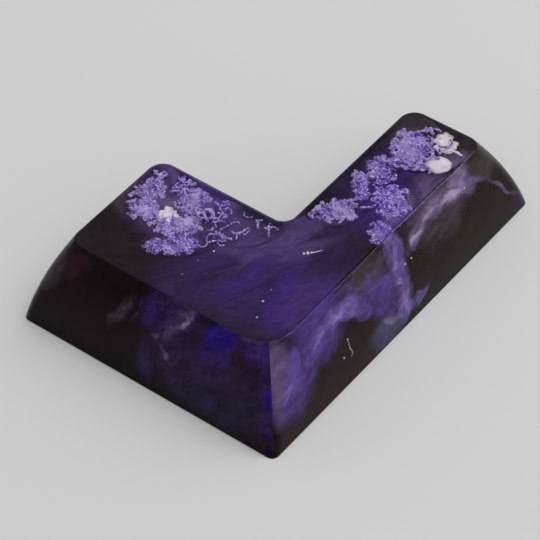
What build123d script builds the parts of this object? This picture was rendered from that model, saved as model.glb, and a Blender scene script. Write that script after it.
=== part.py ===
# L-shaped artisan keycap, two key rows deep, cast in smoky clear resin round lumps of set ink.
# Frame: millimetres, +Z up, +Y away from the typist.
# The origin is on the rim plane, in the middle of the rim's box.
import os
from math import cos, hypot, radians, sin, sqrt

from build123d import *

# Rim outline of the L, at the foot of the skirt
cap_width = 26.8
cap_depth = 37.15
row_depth = 19.2
arm_width = 13.25

# Outside of the cap
cap_height = 8.1
front_lean = 3.5
side_lean = 2.8
side_bulge = 0.37
foot_corner_radius = 0.7
top_corner_radius = 1.5
top_front_corner_radius = 3.0
notch_radius = 1.25
crease_radius = 0.25
section_count = 5

# Hollow under the cap
skirt_wall = 1.8
top_thickness = 3.1
hollow_corner_radius = 0.6
ceiling_radius = 0.5

# Post with the cross socket, cast with the cap
post_diameter = 5.6
post_recess = 1.0
post_root_radius = 0.4
stem_span = 4.0
stem_bar_across = 1.29
stem_bar_along = 1.09
socket_clearance = 0.05
socket_depth = 3.9
socket_lead_in = 0.2

# Lumps of set ink under the top
bloom_cover = 0.45
bloom_size = 4.0
bloom_thickness = 1.5
bloom_crown = 0.72
bloom_lobes = 7
violet_ruffle = 0.3
white_ruffle = 0.05

# Places that follow from the sizes above
right_x = cap_width / 2
left_x = -right_x
back_y = cap_depth / 2
front_y = -back_y
row_back_y = front_y + row_depth
arm_left_x = right_x - arm_width
ceiling_z = cap_height - top_thickness
top_left_x = left_x + side_lean
top_right_x = right_x - side_lean
top_front_y = front_y + front_lean
top_back_y = back_y - front_lean
row_top_back_y = row_back_y - front_lean
arm_top_left_x = arm_left_x + side_lean
row_middle_y = front_y + row_depth / 2


def lean_at(z, lean):
    """How far a side has come in at height z, on an arc from rim to top that swells out from its chord."""
    chord = hypot(lean, cap_height)
    radius = (chord**2 / 4 + side_bulge**2) / (2 * side_bulge)
    centre_in = lean / 2 + (radius - side_bulge) * cap_height / chord
    centre_z = cap_height / 2 - (radius - side_bulge) * lean / chord
    return centre_in - sqrt(radius**2 - (z - centre_z) ** 2)


def section(z, inset, corner, front_corner, notch):
    """Level section of the L at height z, drawn in by an even inset, with its corners rounded."""
    in_x = inset + lean_at(z, side_lean)
    in_y = inset + lean_at(z, front_lean)
    left, right = left_x + in_x, right_x - in_x
    front, back = front_y + in_y, back_y - in_y
    inner = (arm_left_x + in_x, row_back_y - in_y)
    outer = [(left, front), (right, back), (inner[0], back), (left, inner[1])]
    face = make_face(Polyline(outer[0], (right, front), *outer[1:3], inner, outer[3], close=True))
    for points, radius in ((outer, corner), ([(right, front)], front_corner), ([inner], notch)):
        face = fillet([face.vertices().sort_by_distance((x, y, 0))[0] for x, y in points], radius)
    return Pos(0, 0, z) * face


def ell(height, inset, foot_corner, top_corner, top_front_corner, notch):
    """The L up to a height, lofted through level sections whose corners grow rounder as they rise."""
    sections = []
    for step in range(section_count):
        share = step / (section_count - 1)
        corner = foot_corner + share * (top_corner - foot_corner)
        front_corner = foot_corner + share * (top_front_corner - foot_corner)
        sections.append(section(share * height, inset, corner, front_corner, notch))
    return loft(sections)


def round_upper_edge(shape, radius):
    """Rounds the edge round the highest flat face."""
    return fillet(shape.faces().sort_by(Axis.Z)[-1].outer_wire().edges(), radius)


def cross(extra):
    """Outline of the switch stem's cross, grown by an even clearance."""
    span = stem_span + 2 * extra
    return Rectangle(span, stem_bar_across + 2 * extra) + Rectangle(stem_bar_along + 2 * extra, span)


def socket():
    """The cross socket, flared at its mouth to lead the stem in."""
    flare = [cross(socket_clearance + socket_lead_in), Pos(0, 0, socket_lead_in) * cross(socket_clearance)]
    return extrude(cross(socket_clearance), socket_depth) + loft(flare, ruled=True)


def resin_casting():
    """Outside with a slightly eased crease, the hollow a wall further in, and the post with its socket."""
    outer_corners = (foot_corner_radius, top_corner_radius, top_front_corner_radius)
    outside = round_upper_edge(ell(cap_height, 0, *outer_corners, notch_radius), crease_radius)
    inner_corners = (hollow_corner_radius, hollow_corner_radius, hollow_corner_radius)
    hollow = round_upper_edge(
        ell(ceiling_z, skirt_wall, *inner_corners, notch_radius + skirt_wall), ceiling_radius
    )
    post_place = Pos(0, row_middle_y, post_recess)
    post = extrude(Circle(post_diameter / 2), ceiling_z - post_recess)
    body = outside - hollow + post_place * post
    root = body.edges().filter_by(GeomType.CIRCLE).sort_by_distance((0, row_middle_y, ceiling_z))[0]
    return fillet(root, post_root_radius) - post_place * socket()


def on_row(across, deep):
    """Place on the key row's flat top, as shares from its left edge and from its front edge."""
    x = top_left_x + across * (top_right_x - top_left_x)
    y = top_front_y + deep * (row_top_back_y - top_front_y)
    return x, y


def on_arm(across, along):
    """Place on the arm's flat top, as shares from its left edge and from the row's back edge."""
    x = arm_top_left_x + across * (top_right_x - arm_top_left_x)
    y = row_top_back_y + along * (top_back_y - row_top_back_y)
    return x, y


def bloom(place, long, broad, turn, ruffle):
    """A lump of set ink: a flat ruffled pad, widest at half its thickness, with narrower crowns."""

    def rim(share):
        points = []
        for step in range(2 * bloom_lobes):
            angle = radians(180 * step / bloom_lobes)
            drawn_in = ruffle * (step % 2)
            reach_x = long * bloom_size / 2 - drawn_in
            reach_y = broad * bloom_size / 2 - drawn_in
            points.append((reach_x * cos(angle), reach_y * sin(angle)))
        return scale(make_face(Polyline(*points, close=True)), share)

    levels = [(0, bloom_crown), (bloom_thickness / 2, 1), (bloom_thickness, bloom_crown)]
    pad = loft([Pos(0, 0, z) * rim(share) for z, share in levels], ruled=True)
    return Pos(*place, cap_height - bloom_cover - bloom_thickness) * Rot(0, 0, turn) * pad


# Where each lump lies, how long and broad it is in bloom sizes, and how far it is turned
blooms = {
    "white_bloom_left": bloom(on_row(0.21, 0.637), 0.475, 0.4, -40, white_ruffle),
    "white_bloom_side": bloom(on_arm(0.758, 0.77), 0.6, 0.5, 44, white_ruffle),
    "white_bloom_back": bloom(on_arm(0.608, 0.918), 0.62, 0.53, -59, white_ruffle),
    "violet_bloom_left": bloom(on_row(0.062, 0.752), 0.85, 0.66, -48, violet_ruffle),
    "violet_bloom_left_back": bloom(on_row(0.236, 0.867), 1.0, 0.7, -48, violet_ruffle),
    "violet_bloom_left_front": bloom(on_row(0.118, 0.564), 0.72, 0.58, 30, violet_ruffle),
    "violet_bloom_left_middle": bloom(on_row(0.269, 0.596), 1.15, 0.7, 35, violet_ruffle),
    "violet_bloom_row": bloom(on_row(0.33, 0.416), 1.15, 0.58, 36, violet_ruffle),
    "violet_bloom_notch": bloom(on_arm(0.268, 0.233), 1.0, 0.7, 36, violet_ruffle),
    "violet_bloom_side": bloom(on_arm(0.83, 0.238), 0.65, 0.5, -56, violet_ruffle),
    "violet_bloom_middle": bloom(on_arm(0.66, 0.439), 1.02, 0.84, -57, violet_ruffle),
    "violet_bloom_edge_front": bloom(on_arm(0.248, 0.444), 0.9, 0.42, -44, violet_ruffle),
    "violet_bloom_edge": bloom(on_arm(0.268, 0.586), 0.87, 0.62, -55, violet_ruffle),
    "violet_bloom_back": bloom(on_arm(0.359, 0.784), 1.3, 0.98, -56, violet_ruffle),
}

# Each lump sets against the ones before it, and the resin is cast round them all
nodes = {}
casting = resin_casting()
for name, lump in blooms.items():
    for neighbour in nodes.values():
        lump = lump - neighbour
    nodes[name] = lump
    casting = casting - lump
nodes["resin_cap"] = casting

os.makedirs("parts", exist_ok=True)
for name, solid in nodes.items():
    export_step(solid, f"parts/{name}.step")
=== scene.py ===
import math
import random

import bmesh
import bpy
import numpy as np
from mathutils import Matrix, Vector, noise
from mathutils.geometry import delaunay_2d_cdt


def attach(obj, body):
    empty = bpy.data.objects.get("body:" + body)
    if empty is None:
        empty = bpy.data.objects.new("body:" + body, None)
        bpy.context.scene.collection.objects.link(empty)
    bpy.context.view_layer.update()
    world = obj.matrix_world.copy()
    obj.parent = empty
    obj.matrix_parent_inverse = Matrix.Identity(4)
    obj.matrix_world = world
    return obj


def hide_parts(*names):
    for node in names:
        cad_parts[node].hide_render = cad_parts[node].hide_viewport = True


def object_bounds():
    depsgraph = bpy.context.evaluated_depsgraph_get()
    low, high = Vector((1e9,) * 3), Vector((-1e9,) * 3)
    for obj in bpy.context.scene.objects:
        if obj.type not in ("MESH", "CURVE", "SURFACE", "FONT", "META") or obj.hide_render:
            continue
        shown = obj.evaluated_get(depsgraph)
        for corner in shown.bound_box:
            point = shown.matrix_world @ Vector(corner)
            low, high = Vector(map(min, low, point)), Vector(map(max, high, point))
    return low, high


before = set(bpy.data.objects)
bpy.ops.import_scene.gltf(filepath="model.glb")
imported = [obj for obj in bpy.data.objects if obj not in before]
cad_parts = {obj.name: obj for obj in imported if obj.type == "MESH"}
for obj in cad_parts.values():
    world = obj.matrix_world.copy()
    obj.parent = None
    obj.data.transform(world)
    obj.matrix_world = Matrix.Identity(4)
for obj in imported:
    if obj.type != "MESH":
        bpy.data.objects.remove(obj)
cad_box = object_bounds()
mm = 0.001

# Resin casting: one piece of smoky clear resin, poured in a mould, hollow below and polished outside.
# It is the whole cap, and everything else is shut inside it. The hollows round the lumps of ink are
# left out, because the resin lies wet against the ink there.
weld = 0.0001 * mm
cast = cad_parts["resin_cap"].data
corners = np.array([p.vertices[:] for p in cast.polygons])
points = np.array([v.co[:] for v in cast.vertices])
_, welded = np.unique(np.round(points / weld).astype(int), axis=0, return_inverse=True)
welded = welded.reshape(-1)
shell = np.arange(welded.max() + 1)
while True:
    lowest = shell[welded[corners]].min(axis=1)
    spread = shell.copy()
    for side in range(3):
        np.minimum.at(spread, welded[corners[:, side]], lowest)
    if (spread == shell).all():
        break
    shell = spread
piece_of = shell[welded[corners[:, 0]]]
kept = np.flatnonzero(piece_of == np.bincount(piece_of).argmax())
used, renumbered = np.unique(corners[kept], return_inverse=True)
skin_mesh = bpy.data.meshes.new("resin_skin")
skin_mesh.from_pydata(points[used].tolist(), [], renumbered.reshape(-1, 3).tolist())
skin_mesh.polygons.foreach_set("use_smooth", [True] * len(kept))
skin_mesh.normals_split_custom_set(
    [cast.corner_normals[loop].vector[:] for face in kept for loop in cast.polygons[face].loop_indices]
)
skin = bpy.data.objects.new("resin_skin", skin_mesh)
bpy.context.scene.collection.objects.link(skin)
skin.visible_shadow = False

resin = bpy.data.materials.new("smoky_resin")
resin.use_nodes = True
shader = resin.node_tree.nodes["Principled BSDF"]
shader.inputs["Base Color"].default_value = (0.94, 0.92, 0.91, 1)
shader.inputs["Roughness"].default_value = 0.02
shader.inputs["IOR"].default_value = 1.30
shader.inputs["Specular Tint"].default_value = (0.4, 0.4, 0.4, 1)
shader.inputs["Transmission Weight"].default_value = 1.0
skin_mesh.materials.append(resin)
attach(skin, "root")
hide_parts("resin_cap")

# Ink smoke: ink dropped into the wet resin, which spread as smoke through it and set.
# It reaches to just under every face of the cap, and leaves a clear pocket round each lump of ink.
# Sizes are in mm: the cap's own first, then how far the smoke keeps from its faces.
half_width, half_depth, height = (size / mm for size in cad_box[1])
row_back, arm_left = 0.625, 0.15
side_lean, front_lean, swell = 2.8, 3.5, 1.61
foot_corner, top_corner, front_corner, notch_corner = 0.7, 1.5, 3.0, 1.25
corner_points, side_steps, hollow_steps = 9, 12, 8
clear, smoke_foot, smoke_edge, smoke_wall, smoke_slab = 0.08, 0.04, 0.15, 0.9, 1.9
hollow_corner, hollow_notch = 0.5, 2.2


def ell_ring(z, inset, corner, right_front_corner, inner_corner):
    """Points round the L at a height, drawn in by an inset, with rounded corners."""
    share = z / height
    in_x = inset + side_lean * share - swell * share * (1 - share)
    in_y = inset + front_lean * share - swell * share * (1 - share)
    left, right = -half_width + in_x, half_width - in_x
    front, back = -half_depth + in_y, half_depth - in_y
    notch_x, notch_y = arm_left + in_x, row_back - in_y
    turns = [
        (left, front), (right, front), (right, back),
        (notch_x, back), (notch_x, notch_y), (left, notch_y),
    ]
    ring = []
    for i, turn in enumerate(turns):
        here, before, after = Vector(turn), Vector(turns[i - 1]), Vector(turns[(i + 1) % 6])
        arrive, leave = (here - before).normalized(), (after - here).normalized()
        radius = {1: right_front_corner, 4: inner_corner}.get(i, corner)
        for step in range(corner_points):
            angle = math.radians(90 * step / (corner_points - 1))
            inward = here - arrive * radius + leave * radius
            spot = inward + arrive * radius * math.sin(angle) - leave * radius * math.cos(angle)
            ring.append((spot.x, spot.y, z))
    return ring


def lump_place(name):
    """Middle, long way, half length, half breadth and highest z of a lump's room in the casting, in mm."""
    room = np.array([v.co[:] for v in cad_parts[name].data.vertices]) / mm
    middle = (room.min(axis=0) + room.max(axis=0)) / 2
    _, ways = np.linalg.eigh(np.cov((room - middle)[:, :2].T))
    far = np.abs((room - middle)[:, :2] @ ways).max(axis=0)
    return middle, math.atan2(ways[1, 1], ways[0, 1]), far[1], far[0], room[:, 2].max()


smoke_top = height - clear
smoke_rings = []
for step in range(side_steps + 1):
    z = smoke_foot + (smoke_top - smoke_edge - smoke_foot) * step / side_steps
    corner = foot_corner + (top_corner - foot_corner) * z / height - clear
    larger = foot_corner + (front_corner - foot_corner) * z / height - clear
    drawn_in = clear * (0.4 + 0.6 * min(1.0, z / 2))
    smoke_rings.append(ell_ring(z, drawn_in, corner, larger, notch_corner + clear))
for angle in (0.5, 1.05, 1.57):
    z = smoke_top - smoke_edge * (1 - math.sin(angle))
    drawn_in = clear + smoke_edge * (1 - math.cos(angle))
    rounded = (top_corner - drawn_in, front_corner - drawn_in, notch_corner + drawn_in)
    smoke_rings.append(ell_ring(z, drawn_in, *rounded))
inner_top = smoke_top - smoke_slab
hollow_rings = []
for step in range(hollow_steps + 1):
    z = inner_top + (smoke_foot - inner_top) * step / hollow_steps
    hollow_rings.append(ell_ring(z, clear + smoke_wall, hollow_corner, hollow_corner, hollow_notch))
loops = smoke_rings + hollow_rings
count, upper = len(smoke_rings[0]), len(smoke_rings) - 1
spots = [spot for ring in loops for spot in ring]
faces = [tuple(range(len(smoke_rings) * count, (len(smoke_rings) + 1) * count))[::-1]]
for level in list(range(upper)) + list(range(upper + 1, len(loops))):
    above = (level + 1) % len(loops)
    for i in range(count):
        j = (i + 1) % count
        faces.append((level * count + i, level * count + j, above * count + j, above * count + i))

# Top of the smoke, level under the cap's top and sunk in pockets where the lumps and crumbs of ink lie
grid_step, grid_x, grid_y = 0.25, 10.5, 15.0
pocket, pocket_slope = 0.85, 0.9
crumb_pockets = [((0.0, -5.2), 0.7, 2.6, 1.7), ((-5.6, -5.6), 0.75, 2.6, 1.6)]
edge = [Vector(spot[:2]) for spot in smoke_rings[-1]]
grid = []
for i in range(round(2 * grid_x / grid_step) + 1):
    for j in range(round(2 * grid_y / grid_step) + 1):
        x, y = grid_step * i - grid_x, grid_step * j - grid_y
        crossings = 0
        for a, b in zip(edge, edge[1:] + edge[:1]):
            crossings += (a.y > y) != (b.y > y) and x < a.x + (b.x - a.x) * (y - a.y) / (b.y - a.y)
        if crossings % 2:
            grid.append(Vector((x, y)))
rims = [(i, (i + 1) % count) for i in range(count)]
flat, _, triangles, origin, _, _ = delaunay_2d_cdt(edge + grid, rims, [], 1, 1e-6)
rooms = [lump_place(name)[:4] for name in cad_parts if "bloom" in name] + crumb_pockets
placed = {}
for k, spot in enumerate(flat):
    if origin[k] and min(origin[k]) < count:
        placed[k] = upper * count + min(origin[k])
        continue
    sunk = 0.0
    for middle, turn, half_long, half_broad in rooms:
        along, across = Matrix.Rotation(-turn, 2) @ (spot - Vector(middle[:2]))
        past = (math.hypot(along / half_long, across / half_broad) - 1) * half_broad
        inside = min(1.0, max(0.0, 1 - past / pocket_slope))
        sunk = max(sunk, inside * inside * (3 - 2 * inside))
    placed[k] = len(spots)
    spots.append((spot.x, spot.y, smoke_top - pocket * sunk))
faces += [tuple(placed[k] for k in triangle) for triangle in triangles]
smoke_mesh = bpy.data.meshes.new("ink_smoke")
smoke_mesh.from_pydata([(x * mm, y * mm, z * mm) for x, y, z in spots], [], faces)
smoke = bpy.data.objects.new("ink_smoke", smoke_mesh)
bpy.context.scene.collection.objects.link(smoke)

# Inks of the smoke: that of the back and left sides, then from the darkest haze to the brightest strands
hidden = (0.050, 0.036, 0.100)
brown = (0.060, 0.045, 0.060)
wine = (0.040, 0.011, 0.022)
shade = (0.024, 0.015, 0.052)
dusk = (0.034, 0.018, 0.075)
night = (0.036, 0.022, 0.105)
indigo = (0.046, 0.022, 0.160)
glint = (0.030, 0.008, 0.280)
slate = (0.070, 0.063, 0.135)
olive = (0.050, 0.044, 0.036)
haze = (0.075, 0.052, 0.160)
purple = (0.060, 0.028, 0.160)
plum = (0.085, 0.055, 0.110)
mulberry = (0.100, 0.055, 0.170)
violet = (0.075, 0.040, 0.210)
bright_violet = (0.110, 0.066, 0.280)
mauve = (0.125, 0.085, 0.195)
lilac = (0.150, 0.100, 0.340)
rose = (0.200, 0.150, 0.290)
pale_lilac = (0.240, 0.170, 0.450)
pearl = (0.360, 0.285, 0.420)

# Each stroke of smoke goes from one place to another with a half width, an ink and a share of gaps.
# Places on the top are x and y, on the right side y and height, on the front x and height, all in mm.
top_strokes = [
    # Broad haze over the row, along the arm and beside the right edge
    ((0, -10.5), (9, -6.5), 5.7, night, 0.15),
    ((6.5, 13), (7, -2), 3.5, dusk, 0.2),
    ((8.8, -13), (10, -5), 1.8, purple, 0.35),
    # Fan of streaks from the notch to the front edge, bright and dark
    ((6.5, -1.5), (2.5, -7.5), 1.8, haze, 0.4),
    ((3, -3), (0, -8.5), 1.3, haze, 0.3),
    ((5.5, -0.5), (1, -8.5), 0.7, haze, 0.7),
    ((5, -2.5), (1.5, -11), 0.6, haze, 0.7),
    ((7.5, 1), (5, -4), 0.6, shade, 0.7),
    ((7.5, -4.8), (9.5, -2.8), 1.3, shade, 0.2),
    ((-2, -14), (3, -13.5), 1.3, dusk, 0.5),
    ((4.5, -5), (3.5, -13), 0.7, indigo, 0.7),
    ((6.5, -5.5), (8, -12.5), 0.8, indigo, 0.6),
    ((2.5, -8), (0.5, -13.5), 0.6, shade, 0.7),
    # Cloud round the lumps at the left
    ((-10.5, -6.5), (-1.5, -7), 3.1, mulberry, 0.4),
    ((-10.5, -4.5), (-4.5, -3), 1.5, bright_violet, 0.5),
    ((-10.5, -9.5), (-10.5, -5.5), 1.3, brown, 0.4),
    ((-10.5, -3), (-2, -3), 1.2, mulberry, 0.3),
    ((-3, -3.5), (2.5, -3), 1.2, plum, 0.4),
    ((-2.5, -7), (2, -5), 1.0, haze, 0.5),
    ((-4, -4.5), (1.5, -4.5), 1.3, haze, 0.3),
    ((-6, -3.3), (-2, -4.2), 1.2, bright_violet, 0.5),
    ((-9.5, -6), (-4.5, -5), 1.7, mauve, 0.3),
    ((-7.5, -3.6), (-4, -4.8), 0.9, lilac, 0.5),
    ((-5, -10.5), (-2.5, -8.5), 0.8, lilac, 0.6),
    # Cloud round the lumps on the arm, paler at the right edge
    ((6.5, 9), (7.5, 1.5), 2.1, indigo, 0.4),
    ((10, 10), (10.5, 3.5), 1.8, mauve, 0.5),
    ((10, 1.5), (10.5, 4.5), 1.4, lilac, 0.25),
    ((8.3, 11.6), (10.5, 12.9), 0.9, rose, 0.35),
    ((2.5, 6), (3, 2.5), 1.0, shade, 0.3),
    ((3, -2.5), (6, 1), 0.9, haze, 0.4),
    ((3, 13), (9, 13.5), 2.2, brown, 0.3),
]
right_strokes = [
    # Wing that rises from the front corner to the top edge, and a painted reflection down the corner's edge
    ((-16, 2.8), (-12, 6), 2.1, violet, 0.45),
    # Mauve band down the front corner's edge: a painted reflection of the rounded corner
    ((-13.5, 9.5), (-17, 2), 1.0, mauve, 0.15),
    ((-15, 3.7), (-13, 6.8), 0.8, bright_violet, 0.45),
    ((-12, 5.4), (-7.5, 6), 1.7, violet, 0.4),
    ((-13.5, 8), (-5.5, 7.4), 1.2, violet, 0.45),
    ((-5.5, 7.4), (-3.5, 6), 0.9, violet, 0.5),
    # Hooked arch behind the wing, and the cloud and thin brown haze beyond it
    ((-5.5, 7.2), (0, 6.6), 1.4, brown, 0.3),
    ((-3.5, 6), (0, 4.5), 1.3, bright_violet, 0.5),
    ((-3.5, 5), (-0.5, 2.7), 1.4, violet, 0.6),
    ((-11, 5.3), (-9, 6.5), 0.7, bright_violet, 0.4),
    ((-9.5, 6.5), (-6.5, 6.5), 0.7, lilac, 0.5),
    ((-7, 6.5), (-4.5, 5.5), 0.7, lilac, 0.5),
    ((-4.7, 5.7), (-4.2, 4.2), 0.6, bright_violet, 0.5),
    # Plume that sinks from the top edge to the foot and curls forward there
    ((0.7, 8), (1, 5.3), 1.0, lilac, 0.6),
    ((1, 6), (0.7, 3), 0.8, lilac, 0.6),
    ((0.7, 3.3), (0.5, 1.5), 0.8, pale_lilac, 0.6),
    ((0.7, 1.8), (-1.2, 1), 0.7, lilac, 0.5),
    ((4, 2.2), (1, 1.2), 0.5, lilac, 0.8),
    ((-1, 1.3), (-4, 1.2), 1.4, slate, 0.35),
    ((-2.5, 2.3), (-1, 1.6), 0.4, rose, 0.6),
    # Billow under the top edge behind the plume, and its thin tail to the back foot
    ((2.5, 7.4), (11, 7.9), 1.3, plum, 0.5),
    ((4.5, 5.4), (10.5, 5.9), 1.6, brown, 0.8),
    ((2.5, 6.1), (5.5, 7.1), 0.7, rose, 0.75),
    ((5.5, 7.1), (8, 7.1), 0.8, rose, 0.75),
    ((8, 7.1), (11.5, 6.6), 0.8, rose, 0.75),
    ((10.5, 8), (12, 6.6), 1.3, rose, 0.6),
    ((12.5, 7.6), (15.5, 5.8), 1.2, olive, 0.2),
    ((11.5, 7.2), (14, 5.6), 0.4, mauve, 0.3),
    ((13.7, 5.8), (17.5, 1.1), 0.2, mauve, 0.2),
    ((17.5, 1.7), (17.5, 0), 0.7, shade, 0.2),
    # Thin bright strands in the wing, the plume and the billow
    ((-16.5, 2.8), (-13.5, 5.9), 0.25, lilac, 0.3),
    ((-11, 5.2), (-9, 6.4), 0.25, pale_lilac, 0.4),
    ((-9, 6.5), (-6, 6.2), 0.25, pale_lilac, 0.4),
    ((-14, 3.5), (-11.5, 5.6), 0.2, lilac, 0.4),
    ((1, 7.2), (0.5, 5.2), 0.25, pale_lilac, 0.4),
    ((0.5, 5.2), (0.5, 2.7), 0.2, pale_lilac, 0.4),
    ((0.5, 2.7), (0.5, 0.9), 0.25, pale_lilac, 0.4),
    ((2.5, 6.2), (5, 6.9), 0.25, pearl, 0.4),
    ((5, 6.9), (7, 7.1), 0.25, pearl, 0.4),
    ((7, 7.1), (11, 6.4), 0.25, pearl, 0.5),
]
front_strokes = [
    # Dark haze over the right half
    ((1.5, 4.1), (10.5, 5.5), 3.6, dusk, 0.3),
    ((-0.5, 4.2), (5, 3.3), 1.8, dusk, 0.4),
    ((2, 2), (12, 2), 1.6, shade, 0.3),
    ((-1, 3.3), (0, 0.8), 0.7, night, 0.4),
    ((-1.5, 6.6), (-0.5, 6.3), 1.4, indigo, 0.35),
    ((2.6, 8), (0.8, 5.2), 1.0, violet, 0.5),
    ((0, 7.1), (2, 7.7), 1.0, night, 0.4),
    ((6, 1.4), (7, 2.1), 0.7, night, 0.4),
    ((10.8, 6), (12.8, 1), 1.0, night, 0.4),
    # Blue glints and the wine gap between them
    ((5, 6.7), (7, 7.8), 1.1, glint, 0.55),
    ((5, 6.2), (6, 6.7), 0.5, glint, 0.4),
    ((5, 5.3), (7, 6.1), 0.9, indigo, 0.4),
    ((8, 7.1), (9, 6.6), 1.0, wine, 0.3),
    ((8.8, 8), (9.6, 7.4), 1.2, indigo, 0.35),
    ((10, 7.1), (10.6, 6.8), 0.6, indigo, 0.3),
    ((11.5, 4.9), (12, 4), 0.7, glint, 0.3),
    ((13, 1.3), (13.2, 0.6), 0.6, glint, 0.3),
    # Pale curl that hangs from the top edge, with two hooks
    ((2.7, 8), (1.7, 6.5), 0.5, mauve, 0.6),
    ((2.9, 7.6), (1.5, 5.8), 0.25, pearl, 0.5),
    ((1.7, 6.5), (0.9, 4.6), 0.5, mauve, 0.65),
    ((0.5, 4.4), (1.8, 3.3), 0.25, rose, 0.4),
    ((0.9, 5.1), (-0.3, 4.4), 0.25, mauve, 0.4),
    # Faint brown wisps at the left
    ((-3.1, 7), (-4.8, 3.6), 0.6, brown, 0.65),
    ((-10, 5.7), (-7.8, 7.4), 0.9, wine, 0.4),
    ((-12, 4), (-10.5, 6.8), 1.1, brown, 0.55),
    ((-2.5, 7), (-2.6, 4.8), 0.2, brown, 0.4),
]


def under_face(label, along, up):
    """Place of a stroke just under a face of the cap, in mm."""
    if label == "top":
        return Vector((along, up, 0))
    share = up / height
    bow = swell * share * (1 - share)
    if label == "right":
        return Vector((half_width - side_lean * share + bow - clear, along, up))
    return Vector((along, front_lean * share - bow + clear - half_depth, up))
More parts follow.
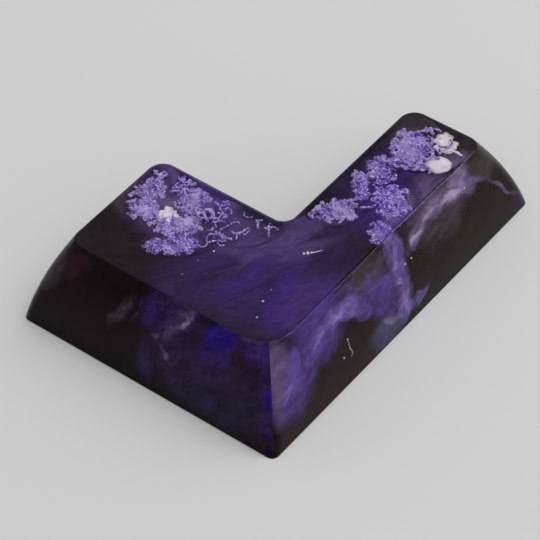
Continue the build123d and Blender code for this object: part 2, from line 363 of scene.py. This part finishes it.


# Each face's darkest ink, way of flow, scale of its fine strands, their contrast, brightness and strokes.
# The brightness is painted light: the right face is made brighter as if lit from the right, the front
# darker as if in shade.
for label, dark, flow, strand_scale, contrast, painted_face_light, strokes in (
    ("top", (0.016, 0.0105, 0.014), (0.4, 0.9, 0), 1.2, 0.22, 1.08, top_strokes),
    ("right", (0.012, 0.006, 0.003), (0, 1, 0.2), 0.8, 0.3, 1.32, right_strokes),
    ("front", (0.009, 0.003, 0.005), (0.6, 0, 0.8), 1.0, 0.45, 0.93, front_strokes),
    ("back", (0.010, 0.007, 0.010), (0.6, 0.6, 0.5), 0.8, 0.3, 1.0, []),
):
    ink = bpy.data.materials.new(f"ink_smoke_{label}")
    ink.use_nodes = True
    nodes, links = ink.node_tree.nodes, ink.node_tree.links
    shader = nodes["Principled BSDF"]
    shader.inputs["Roughness"].default_value = 0.9
    shader.inputs["Specular IOR Level"].default_value = 0.0
    place = nodes.new("ShaderNodeTexCoord")
    in_mm = nodes.new("ShaderNodeVectorMath")
    in_mm.operation = "MULTIPLY"
    in_mm.inputs[1].default_value = (1 / mm, 1 / mm, 0 if label == "top" else 1 / mm)
    links.new(place.outputs["Object"], in_mm.inputs[0])
    blown = in_mm.outputs[0]
    for frequency, reach in ((0.35, 1.4), (1.0, 0.7), (3.0, 0.28)):
        drift = nodes.new("ShaderNodeTexNoise")
        drift.inputs["Scale"].default_value = frequency
        drift.inputs["Detail"].default_value = 1.0
        links.new(blown, drift.inputs["Vector"])
        centred = nodes.new("ShaderNodeVectorMath")
        centred.operation = "SUBTRACT"
        centred.inputs[1].default_value = (0.5, 0.5, 0.5)
        links.new(drift.outputs["Color"], centred.inputs[0])
        moved = nodes.new("ShaderNodeVectorMath")
        moved.operation = "MULTIPLY_ADD"
        moved.inputs[1].default_value = (reach, reach, 0 if label == "top" else reach)
        links.new(centred.outputs[0], moved.inputs[0])
        links.new(blown, moved.inputs[2])
        blown = moved.outputs[0]
    cloud = nodes.new("ShaderNodeTexNoise")
    cloud.inputs["Scale"].default_value = 0.45
    cloud.inputs["Detail"].default_value = 4.0
    cloud.inputs["Distortion"].default_value = 1.2
    links.new(blown, cloud.inputs["Vector"])
    lit = [1.4 * part for part in dark] if strokes else hidden
    ground = nodes.new("ShaderNodeValToRGB")
    ground.color_ramp.elements[0].position = 0.45
    ground.color_ramp.elements[0].color = (*dark, 1)
    ground.color_ramp.elements[1].position = 0.75
    ground.color_ramp.elements[1].color = (*lit, 1)
    links.new(cloud.outputs["Fac"], ground.inputs["Fac"])
    painted = ground.outputs["Color"]
    for number, (start, end, half_wide, tint, gaps) in enumerate(strokes):
        start, end = under_face(label, *start), under_face(label, *end)
        local = nodes.new("ShaderNodeMapping")
        local.vector_type = "TEXTURE"
        local.inputs["Location"].default_value = (start + end) / 2
        local.inputs["Rotation"].default_value = (end - start).to_track_quat("X", "Z").to_euler()
        half_length = (end - start).length / 2 + half_wide
        local.inputs["Scale"].default_value = (half_length, half_wide * 1.5, half_wide * 1.5)
        links.new(blown, local.inputs["Vector"])
        far = nodes.new("ShaderNodeVectorMath")
        far.operation = "LENGTH"
        links.new(local.outputs[0], far.inputs[0])
        near = nodes.new("ShaderNodeMapRange")
        near.interpolation_type = "SMOOTHSTEP"
        near.inputs["From Min"].default_value = 1.0
        near.inputs["From Max"].default_value = 0.35
        near.inputs["To Max"].default_value = 0.95
        links.new(far.outputs["Value"], near.inputs["Value"])
        combed = nodes.new("ShaderNodeVectorMath")
        combed.operation = "MULTIPLY_ADD"
        combed.inputs[1].default_value = (1.3, 3.4, 3.4)
        combed.inputs[2].default_value = (3.7 * number, 0, 0)
        links.new(local.outputs[0], combed.inputs[0])
        wisps = nodes.new("ShaderNodeTexNoise")
        wisps.inputs["Scale"].default_value = 1.0
        wisps.inputs["Detail"].default_value = 4.0
        wisps.inputs["Distortion"].default_value = 0.8
        links.new(combed.outputs[0], wisps.inputs["Vector"])
        clearing = nodes.new("ShaderNodeMapRange")
        clearing.inputs["From Min"].default_value = 0.3
        clearing.inputs["From Max"].default_value = 0.58
        clearing.inputs["To Min"].default_value = 1 - gaps
        links.new(wisps.outputs["Fac"], clearing.inputs["Value"])
        shown = nodes.new("ShaderNodeMath")
        shown.operation = "MULTIPLY"
        links.new(near.outputs["Result"], shown.inputs[0])
        links.new(clearing.outputs["Result"], shown.inputs[1])
        mix = nodes.new("ShaderNodeMix")
        mix.data_type = "RGBA"
        links.new(shown.outputs[0], mix.inputs["Factor"])
        links.new(painted, mix.inputs[6])
        mix.inputs[7].default_value = (*tint, 1)
        painted = mix.outputs[2]
    drawn_out = nodes.new("ShaderNodeMapping")
    drawn_out.vector_type = "TEXTURE"
    drawn_out.inputs["Rotation"].default_value = Vector(flow).to_track_quat("X", "Z").to_euler()
    drawn_out.inputs["Scale"].default_value = (2.4, 0.7, 0.7)
    links.new(blown, drawn_out.inputs["Vector"])
    strands = nodes.new("ShaderNodeTexNoise")
    strands.inputs["Scale"].default_value = strand_scale
    strands.inputs["Detail"].default_value = 5.0
    strands.inputs["Roughness"].default_value = 0.6
    strands.inputs["Distortion"].default_value = 1.0
    links.new(drawn_out.outputs[0], strands.inputs["Vector"])
    # Fine strands times the face's brightness, which is painted light rather than a change in the ink
    strands_and_face_light = nodes.new("ShaderNodeMapRange")
    strands_and_face_light.inputs["From Min"].default_value = 0.35
    strands_and_face_light.inputs["From Max"].default_value = 0.68
    strands_and_face_light.inputs["To Min"].default_value = painted_face_light * (1 - contrast)
    strands_and_face_light.inputs["To Max"].default_value = painted_face_light * (1 + contrast)
    links.new(strands.outputs["Fac"], strands_and_face_light.inputs["Value"])
    face_lit_colour = nodes.new("ShaderNodeVectorMath")
    face_lit_colour.operation = "SCALE"
    links.new(painted, face_lit_colour.inputs[0])
    links.new(strands_and_face_light.outputs["Result"], face_lit_colour.inputs["Scale"])
    links.new(face_lit_colour.outputs[0], shader.inputs["Base Color"])
    smoke_mesh.materials.append(ink)

# Which of the four inks each face of the smoke has: the ceiling of its hollow first, its top last
top_ink, right_ink, front_ink, back_ink = range(4)
half_corner = corner_points // 2
on_faces = [back_ink]
for level in list(range(upper)) + list(range(upper + 1, len(loops))):
    for i in range(count):
        turn, step = divmod(i, corner_points)
        on_front = (turn == 0 and step >= half_corner) or (turn == 1 and step < half_corner)
        on_right = (turn == 1 and step >= half_corner) or (turn == 2 and step < half_corner)
        on_edge = level == upper - 1 or (level >= upper - 3 and not on_front and not on_right)
        face_ink = back_ink
        if on_edge:
            face_ink = top_ink
        elif on_front:
            face_ink = front_ink
        elif on_right:
            face_ink = right_ink
        on_faces.append(face_ink)
on_faces += [top_ink] * (len(smoke_mesh.polygons) - len(on_faces))
smoke_mesh.polygons.foreach_set("material_index", on_faces)
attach(smoke, "root")

# Lumps of violet ink: ink that curdled into froth as the resin set, shut in under the top.
# Each lies where the casting leaves room for it, with ringlets and pits all over.
violet_froth = bpy.data.materials.new("violet_froth")
violet_froth.use_nodes = True
nodes, links = violet_froth.node_tree.nodes, violet_froth.node_tree.links
shader = nodes["Principled BSDF"]
shader.inputs["Roughness"].default_value = 0.6
shader.inputs["Specular IOR Level"].default_value = 0.1
froth = nodes.new("ShaderNodeAttribute")
froth.attribute_name = "froth"
# Ramp from the dark of the pits, which is painted shade, to the pale tops of the ringlets
ramp = nodes.new("ShaderNodeValToRGB")
ramp.color_ramp.elements[0].color = (0.075, 0.045, 0.26, 1)
ramp.color_ramp.elements[1].color = (0.74, 0.60, 0.98, 1)
middle_tone = ramp.color_ramp.elements.new(0.5)
middle_tone.color = (0.26, 0.17, 0.66, 1)
links.new(froth.outputs["Fac"], ramp.inputs["Fac"])
paleness = nodes.new("ShaderNodeAttribute")
paleness.attribute_name = "pale"
paler = nodes.new("ShaderNodeMix")
paler.data_type = "RGBA"
paler.inputs[7].default_value = (0.62, 0.52, 0.82, 1)
links.new(paleness.outputs["Fac"], paler.inputs["Factor"])
links.new(ramp.outputs["Color"], paler.inputs[6])
links.new(paler.outputs[2], shader.inputs["Base Color"])
plain_paleness = 0.05
pale_lumps = {
    "violet_bloom_notch": 0.4, "violet_bloom_left_front": 0.35, "violet_bloom_left_middle": 0.4,
    "violet_bloom_left": 0.3, "violet_bloom_left_back": 0.3, "violet_bloom_back": 0.25,
}


def blobs_mesh(name, blobs, grain_size, smoothing):
    """One closed skin round a heap of egg shapes, each given as middle, radii and turn about z, in mm."""
    heap = bmesh.new()
    for middle, radii, turn in blobs:
        shape = Matrix.Translation(Vector(middle) * mm) @ Matrix.Rotation(turn, 4, "Z")
        shape = shape @ Matrix.Diagonal((*(Vector(radii) * mm), 1))
        bmesh.ops.create_icosphere(heap, subdivisions=2, radius=1.0, matrix=shape)
    rough = bpy.data.meshes.new(name)
    heap.to_mesh(rough)
    heap.free()
    lump = bpy.data.objects.new(name, rough)
    bpy.context.scene.collection.objects.link(lump)
    grain = lump.modifiers.new("grain", "REMESH")
    grain.mode = "VOXEL"
    grain.voxel_size = grain_size * mm
    worn = lump.modifiers.new("worn", "SMOOTH")
    worn.iterations = smoothing
    fine = bpy.data.meshes.new_from_object(lump.evaluated_get(bpy.context.evaluated_depsgraph_get()))
    lump.modifiers.clear()
    lump.data = fine
    bpy.data.meshes.remove(rough)
    fine.name = name
    fine.polygons.foreach_set("use_smooth", [True] * len(fine.polygons))
    return lump


def froth_up(lump, relief, paleness):
    """Raises ringlets and pits all over a lump, darker in the pits as painted shade, and gives it the
    violet ink.
    """
    fine = lump.data
    normals = [v.normal.copy() for v in fine.vertices]
    shades, pales = [], []
    for v, normal in zip(fine.vertices, normals):
        spot = v.co / mm
        bend = noise.noise_vector(spot * 1.6) * 0.25
        ringlet = math.exp(-((noise.noise((spot + bend) * 2.9) / 0.15) ** 2))
        fold = noise.noise(spot * 8.0)
        v.co += normal * mm * relief * (ringlet - 0.7 + 0.3 * fold)
        # Lowest in the pits, where it is painted shade
        shades.append(min(1.0, max(0.0, 0.68 * ringlet + 0.4 * fold + 0.12)))
        pales.append(min(1.0, max(0.0, paleness + 0.5 * noise.noise(spot * 0.8))))
    for label, values in (("froth", shades), ("pale", pales)):
        fine.attributes.new(label, "FLOAT", "POINT").data.foreach_set("value", values)
    fine.materials.append(violet_froth)


noise.seed_set(3)
floret_gap, florets_inside = 0.45, 12
froth_grain, froth_smoothing, froth_relief = 0.045, 2, 0.11
violet_nodes = sorted(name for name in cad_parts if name.startswith("violet_bloom"))
for number, name in enumerate(violet_nodes):
    chance = random.Random(number)
    middle, turn, half_long, half_broad, high = lump_place(name)
    blobs = [(middle, (half_long * 0.85, half_broad * 0.82, 0.55), turn)]
    rim = round(math.pi * (half_long + half_broad) / floret_gap)
    for floret in range(rim + round(florets_inside * half_long * half_broad)):
        angle, out = 2 * math.pi * floret / rim + chance.uniform(-0.3, 0.3), chance.uniform(0.93, 1.03)
        if floret >= rim:
            angle, out = chance.uniform(0, 2 * math.pi), math.sqrt(chance.uniform(0.0, 0.85))
        size = chance.uniform(0.2, 0.4)
        along = (half_long - size * 0.5) * out * math.cos(angle)
        across = (half_broad - size * 0.5) * out * math.sin(angle)
        x = middle[0] + along * math.cos(turn) - across * math.sin(turn)
        y = middle[1] + along * math.sin(turn) + across * math.cos(turn)
        z = high - size - 0.55 * out * out * chance.uniform(0.3, 1.0)
        blobs.append(((x, y, z), (size, size, size), 0))
    lump = blobs_mesh(name.replace("bloom", "froth"), blobs, froth_grain, froth_smoothing)
    froth_up(lump, froth_relief, pale_lumps.get(name, plain_paleness))
    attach(lump, "root")
    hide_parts(name)

# Lumps of white ink: set under the top in the same way as the violet ones, but smooth.
# Two are like small flowers with round petals, and the one by the arm's edge is an egg.
white = bpy.data.materials.new("white_ink")
white.use_nodes = True
shader = white.node_tree.nodes["Principled BSDF"]
shader.inputs["Base Color"].default_value = (0.80, 0.75, 0.82, 1)
shader.inputs["Roughness"].default_value = 0.6
egg_shift = np.array((-0.1, 0.12, 0))
petals, outer_petals = 14, 9
petal_grain, petal_smoothing, petal_relief = 0.045, 8, 0.06
white_nodes = sorted(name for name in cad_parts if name.startswith("white_bloom"))
for number, name in enumerate(white_nodes):
    chance = random.Random(40 + number)
    middle, turn, half_long, half_broad, high = lump_place(name)
    if name == "white_bloom_side":
        blobs = [(middle + egg_shift, (half_long * 1.1, half_broad * 1.18, 0.75), turn)]
    else:
        blobs = [(middle, (half_long * 0.8, half_broad * 0.8, 0.6), turn)]
        for petal in range(petals):
            angle = 2 * math.pi * (petal + chance.uniform(-0.3, 0.3)) / outer_petals
            size = half_broad * chance.uniform(0.28, 0.44)
            out = 0.8 if petal < outer_petals else 0.4
            along, across = half_long * out * math.cos(angle), half_broad * out * math.sin(angle)
            x = middle[0] + along * math.cos(turn) - across * math.sin(turn)
            y = middle[1] + along * math.sin(turn) + across * math.cos(turn)
            z = high - size - chance.uniform(0.0, 0.2) - 0.15 * out
            blobs.append(((x, y, z), (size, size, size), 0))
    lump = blobs_mesh(name.replace("bloom", "petal"), blobs, petal_grain, petal_smoothing)
    normals = [v.normal.copy() for v in lump.data.vertices]
    for v, normal in zip(lump.data.vertices, normals):
        v.co += normal * mm * petal_relief * noise.noise(v.co / mm * 2.2)
    lump.data.materials.append(white)
    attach(lump, "root")
    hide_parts(name)

# Crumbs: bits of violet ink that came away from the lumps and set loose, curled up beside the notch
# and strewn between the lumps on the left and on the arm. They end short of the top's edges.
# A patch of them has a middle, a half width and half depth in mm, a number and a kind. A kind has
# a bead size, the most beads in a crumb and the least bend from bead to bead.
chance = random.Random(7)
crumb_top, largest = 8.06, 1.3
crumb_grain, crumb_smoothing, crumb_relief, crumb_paleness = 0.035, 1, 0.05, 0.2
left_end, row_end, arm_end = -10.2, -3.3, 3.4
kinds = {"curl": (0.10, 12, -0.35), "scrap": (0.14, 9, -0.1)}
patches = [
    # Fine curls from the notch to the lumps on the left
    ((0.9, -4.6), (1.3, 1.1), 9, "curl"),
    ((-1.2, -6.6), (1.3, 1.7), 13, "curl"),
    ((-2.2, -4.9), (0.8, 0.9), 4, "curl"),
    # Scraps round the left lumps, from the left edge along the row's back edge
    ((-9.7, -6.2), (0.5, 2.2), 14, "scrap"),
    ((-8.0, -5.0), (1.2, 1.6), 8, "scrap"),
    ((-5.3, -3.7), (2.4, 0.4), 10, "scrap"),
    ((-4.2, -5.2), (1.3, 1.2), 8, "scrap"),
    # Scraps round the lumps on the arm, beside the white ones and at the notch
    ((5.8, 4.8), (0.9, 2.4), 6, "scrap"),
    ((5.8, 8.7), (0.9, 0.3), 8, "scrap"),
    ((7.4, 10.1), (0.2, 0.8), 5, "scrap"),
    ((7.5, 12.4), (0.6, 0.4), 4, "scrap"),
    ((5.9, 13.5), (0.6, 0.4), 4, "scrap"),
    ((3.9, -0.2), (0.3, 0.8), 4, "scrap"),
]
blobs = []
for patch, reach, how_many, kind in patches:
    size, beads, least_bend = kinds[kind]
    for crumb in range(how_many):
        x = patch[0] + reach[0] * chance.uniform(-1, 1)
        y = patch[1] + reach[1] * chance.uniform(-1, 1)
        spot = Vector((x, y, crumb_top - largest * size))
        heading, curl = chance.uniform(0, 2 * math.pi), chance.choice((-1, 1))
        for bead in range(chance.randint(beads // 2, beads)):
            radius = size * chance.uniform(0.75, largest)
            if spot.x > left_end and (spot.y < row_end or spot.x > arm_end):
                blobs.append((spot[:], (radius, radius, radius), 0))
            heading += curl * chance.uniform(least_bend, 0.8)
            sinking = chance.uniform(-0.2, 0.0)
            spot = spot + Vector((math.cos(heading), math.sin(heading), sinking)) * size * 1.4

# One more crumb, shut to a ring, by the notch
ring_x, ring_y, ring_z = -0.65, -3.4, 7.45
ring_beads, ring_size = 18, 0.09
for bead in range(ring_beads):
    angle = 2 * math.pi * bead / ring_beads
    spot = (ring_x + 0.42 * math.cos(angle), ring_y + 0.36 * math.sin(angle), ring_z)
    blobs.append((spot, (ring_size, ring_size, ring_size), 0))
crumbs = blobs_mesh("ink_crumbs", blobs, crumb_grain, crumb_smoothing)
froth_up(crumbs, crumb_relief, crumb_paleness)
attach(crumbs, "root")

# Drops and threads of white ink: a thread drawn out behind the side lump, drops close under the top,
# one of them with a tail, and a torn thread in the smoke under the right face.
thread_sides = 8
drop_height, drop_thickness = 8.0, 0.06
thread_mesh = bmesh.new()


def thread(path, thick):
    """A thin round thread along a path in mm, tapered to both ends."""
    rings = []
    for i, spot in enumerate(path):
        way = (path[min(i + 1, len(path) - 1)] - path[max(i - 1, 0)]).normalized()
        across = way.orthogonal().normalized()
        other = way.cross(across)
        radius = thick * (0.35 + 0.65 * math.sin(math.pi * (i + 0.5) / len(path)))
        ring = []
        for k in range(thread_sides):
            angle = 2 * math.pi * k / thread_sides
            place = spot + across * radius * math.cos(angle) + other * radius * math.sin(angle)
            ring.append(thread_mesh.verts.new(place * mm))
        rings.append(ring)
    for here, ahead in zip(rings, rings[1:]):
        for k in range(thread_sides):
            after = (k + 1) % thread_sides
            thread_mesh.faces.new((here[k], here[after], ahead[after], ahead[k]))
    thread_mesh.faces.new(rings[0][::-1])
    thread_mesh.faces.new(rings[-1])


def drop(spot, radii):
    """A flat round drop, in mm."""
    shape = Matrix.Translation(Vector(spot) * mm) @ Matrix.Diagonal((*(Vector(radii) * mm), 1))
    bmesh.ops.create_icosphere(thread_mesh, subdivisions=2, radius=1.0, matrix=shape)


tail, tail_steps = [], 20
for i in range(tail_steps + 1):
    t = i / tail_steps
    tail.append(Vector((8.4 + 1.8 * t, 12.4 + 0.7 * t + 0.2 * math.sin(5 * t), 7.93)))
thread(tail, 0.13)

# Drops on the top as x, y and size, the last four crowded at the head of the one with a tail
for x, y, size in (
    (-0.9, -7.9, 0.10), (-0.1, -8.8, 0.10), (6.6, -10.9, 0.10), (7.3, -12.6, 0.08), (-5.2, -11.9, 0.05),
    (-0.5, -10.4, 0.05), (6.35, -9.5, 0.05), (-0.6, -12.4, 0.05), (6.05, -4.6, 0.12), (6.2, -4.3, 0.10),
    (6.35, -4.45, 0.08), (6.45, -4.1, 0.07),
):
    drop((x, y, drop_height), (size, size, drop_thickness))
comet, comet_steps = [], 12
for i in range(comet_steps + 1):
    t = i / comet_steps
    comet.append(Vector((6.1 + t, -4.5 + 1.1 * t - 0.12 * math.sin(4 * t), drop_height)))
thread(comet, 0.05)

# Torn thread in the smoke under the right face, and drops along that face
torn = [(12.40, -7.11, 3.81), (12.60, -7.2, 3.19), (12.79, -7.0, 2.55), (12.89, -7.34, 2.14)]
bends = [Vector(a).lerp(Vector(b), k / 5) for a, b in zip(torn, torn[1:]) for k in range(5)]
thread(bends, 0.035)
for spot in (
    (12.74, -8.11, 2.72), (12.37, -7.15, 3.9), (11.9, 1.66, 5.19), (11.9, 2.53, 5.19), (11.38, 11.05, 6.38),
):
    drop(spot, (0.05, 0.1, 0.1))
drops_mesh = bpy.data.meshes.new("ink_drops")
thread_mesh.to_mesh(drops_mesh)
thread_mesh.free()
drops_mesh.polygons.foreach_set("use_smooth", [True] * len(drops_mesh.polygons))
drops = bpy.data.objects.new("ink_drops", drops_mesh)
bpy.context.scene.collection.objects.link(drops)
drops_mesh.materials.append(white)
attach(drops, "root")

# Stage: a pale grey table top that runs out of view, soft light from the right and from above.
reach = 0.6
table_corners = [(-reach, -reach, 0), (reach, -reach, 0), (reach, reach, 0), (-reach, reach, 0)]
floor_mesh = bpy.data.meshes.new("table_top")
floor_mesh.from_pydata(table_corners, [], [(0, 1, 2, 3)])
floor = bpy.data.objects.new("table_top", floor_mesh)
bpy.context.scene.collection.objects.link(floor)
paper = bpy.data.materials.new("table_top")
paper.use_nodes = True
shader = paper.node_tree.nodes["Principled BSDF"]
shader.inputs["Base Color"].default_value = (0.63, 0.63, 0.63, 1)
shader.inputs["Roughness"].default_value = 0.9
shader.inputs["Specular IOR Level"].default_value = 0.0
floor_mesh.materials.append(paper)

for name, spot, size, power in (
    ("right_window", (0.18, 0.34, 0.48), 0.40, 1.3),
    ("overhead", (0.12, -0.02, 0.60), 0.80, 1.9),
):
    lamp = bpy.data.lights.new(name, "AREA")
    lamp.size = size
    lamp.energy = power
    lamp_object = bpy.data.objects.new(name, lamp)
    lamp_object.location = spot
    lamp_object.rotation_euler = (-Vector(spot)).to_track_quat("-Z", "Y").to_euler()
    bpy.context.scene.collection.objects.link(lamp_object)
    lamp_object.visible_transmission = False

room = bpy.data.worlds.new("room")
room.use_nodes = True
room.node_tree.nodes["Background"].inputs["Color"].default_value = (0.42, 0.42, 0.425, 1)
bpy.context.scene.world = room
bpy.context.scene.view_settings.view_transform = "Standard"

# Camera: from the front right, above, with a long lens, rolled by a little over a degree.
lens = bpy.data.cameras.new("camera")
lens.lens = 180.18
lens.sensor_width = 36
lens.clip_start = 0.01
camera = bpy.data.objects.new("camera", lens)
eye = Vector((99.96, -128.82, 167.63)) * mm
target = Vector((0.15, -1.665, 0)) * mm
ahead = (target - eye).normalized()
sideways = ahead.cross(Vector((0, 0, 1))).normalized()
raised = sideways.cross(ahead)
tilt = math.radians(-1.23)
right_way = sideways * math.cos(tilt) + raised * math.sin(tilt)
up_way = raised * math.cos(tilt) - sideways * math.sin(tilt)
camera.matrix_world = Matrix((right_way, up_way, -ahead)).transposed().to_4x4()
camera.location = eye
bpy.context.scene.collection.objects.link(camera)
bpy.context.scene.camera = camera
